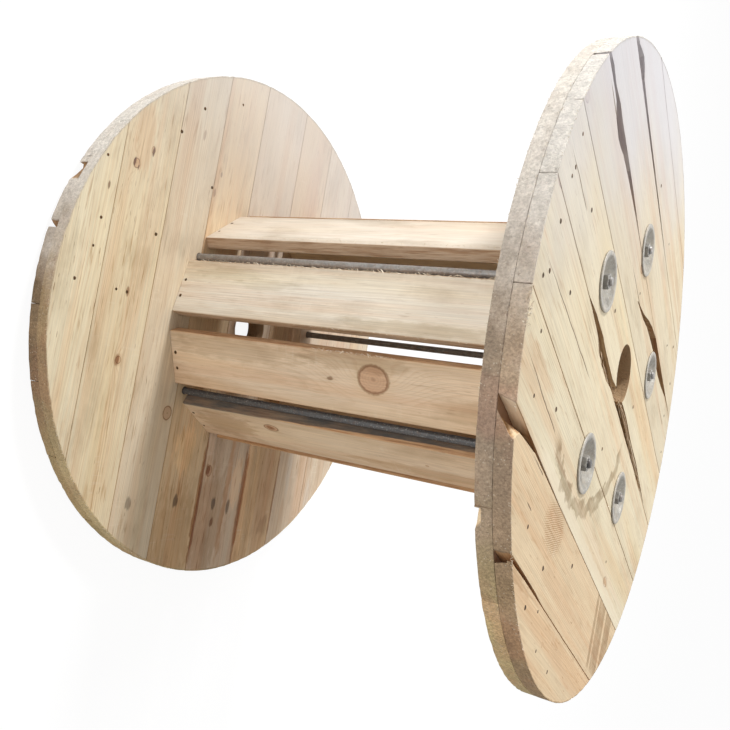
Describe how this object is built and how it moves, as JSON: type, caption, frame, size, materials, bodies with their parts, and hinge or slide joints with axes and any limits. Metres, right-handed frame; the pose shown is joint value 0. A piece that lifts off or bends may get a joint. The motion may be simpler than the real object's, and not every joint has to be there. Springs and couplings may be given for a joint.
{
  "type": "wooden cable drum",
  "caption": "Wooden cable drum stood on end: two round flanges of crossed nailed boards, an open barrel of flat staves, steel tie rods, dished washers and a spindle hole.",
  "frame": {"origin": "on the drum's axis, at the floor that the drum stands on", "axes": "+Z along the drum's axis, up through the upper flange as the drum stands on its lower end"},
  "size_m": [1.2, 1.2, 0.9742],
  "materials": {
    "flange_face_wood": "rough sawn pine, outer boards",
    "flange_wood": "rough sawn pine, inner boards",
    "stave_wood": "rough sawn pine",
    "rod_steel": "dull drawn steel",
    "washer_steel": "dull zinc"
  },
  "bodies": {
    "root": {"lower_outer_board_1": "flange_face_wood", "lower_outer_board_2": "flange_face_wood", "lower_outer_board_3": "flange_face_wood", "lower_outer_board_4": "flange_face_wood", "lower_outer_board_5": "flange_face_wood", "lower_outer_board_6": "flange_face_wood", "lower_outer_board_7": "flange_face_wood", "lower_outer_board_8": "flange_face_wood", "lower_inner_board_1": "flange_wood", "lower_inner_board_2": "flange_wood", "lower_inner_board_3": "flange_wood", "lower_inner_board_4": "flange_wood", "lower_inner_board_5": "flange_wood", "lower_inner_board_6": "flange_wood", "lower_inner_board_7": "flange_wood", "lower_inner_board_8": "flange_wood", "lower_inner_board_9": "flange_wood", "upper_inner_board_1": "flange_wood", "upper_inner_board_2": "flange_wood", "upper_inner_board_3": "flange_wood", "upper_inner_board_4": "flange_wood", "upper_inner_board_5": "flange_wood", "upper_inner_board_6": "flange_wood", "upper_inner_board_7": "flange_wood", "upper_inner_board_8": "flange_wood", "upper_inner_board_9": "flange_wood", "upper_outer_board_1": "flange_face_wood", "upper_outer_board_2": "flange_face_wood", "upper_outer_board_3": "flange_face_wood", "upper_outer_board_4": "flange_face_wood", "upper_outer_board_5": "flange_face_wood", "upper_outer_board_6": "flange_face_wood", "upper_outer_board_7": "flange_face_wood", "upper_outer_board_8": "flange_face_wood", "upper_outer_board_9": "flange_face_wood", "stave_1": "stave_wood", "stave_2": "stave_wood", "stave_3": "stave_wood", "stave_4": "stave_wood", "stave_5": "stave_wood", "stave_6": "stave_wood", "stave_7": "stave_wood", "stave_8": "stave_wood", "stave_9": "stave_wood", "stave_10": "stave_wood", "tie_rod_1": "rod_steel", "upper_washer_1": "washer_steel", "lower_washer_1": "washer_steel", "tie_rod_2": "rod_steel", "upper_washer_2": "washer_steel", "lower_washer_2": "washer_steel", "tie_rod_3": "rod_steel", "upper_washer_3": "washer_steel", "lower_washer_3": "washer_steel", "tie_rod_4": "rod_steel", "upper_washer_4": "washer_steel", "lower_washer_4": "washer_steel", "tie_rod_5": "rod_steel", "upper_washer_5": "washer_steel", "lower_washer_5": "washer_steel"}
  },
  "joints": []
}
